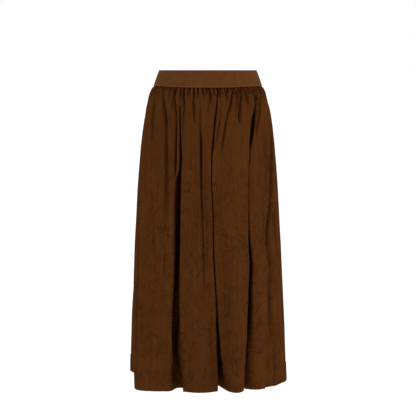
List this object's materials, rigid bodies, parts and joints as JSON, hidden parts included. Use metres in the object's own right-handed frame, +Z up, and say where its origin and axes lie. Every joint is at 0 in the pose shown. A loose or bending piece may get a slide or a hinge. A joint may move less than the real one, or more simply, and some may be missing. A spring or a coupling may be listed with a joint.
{
  "type": "midi skirt",
  "caption": "Full midi skirt in soft woven cloth, gathered at the waist into a smooth stretch waistband, hanging in deep loose folds to a turned-up hem.",
  "frame": {"origin": "middle of the waistband's opening, halfway up the band, where the waist holds the skirt", "axes": "+Z up, the front faces -Y, the wearer's right hand is at -X"},
  "size_m": [0.4186, 0.3717, 0.82],
  "materials": {
    "waistband": "smooth knitted elastic, brown",
    "front_panel": "soft washed crinkled weave with a slight sheen, brown",
    "back_panel": "soft washed crinkled weave with a slight sheen, brown"
  },
  "bodies": {
    "root": {"waistband": "waistband", "front_panel": "front_panel", "back_panel": "back_panel"}
  },
  "joints": []
}
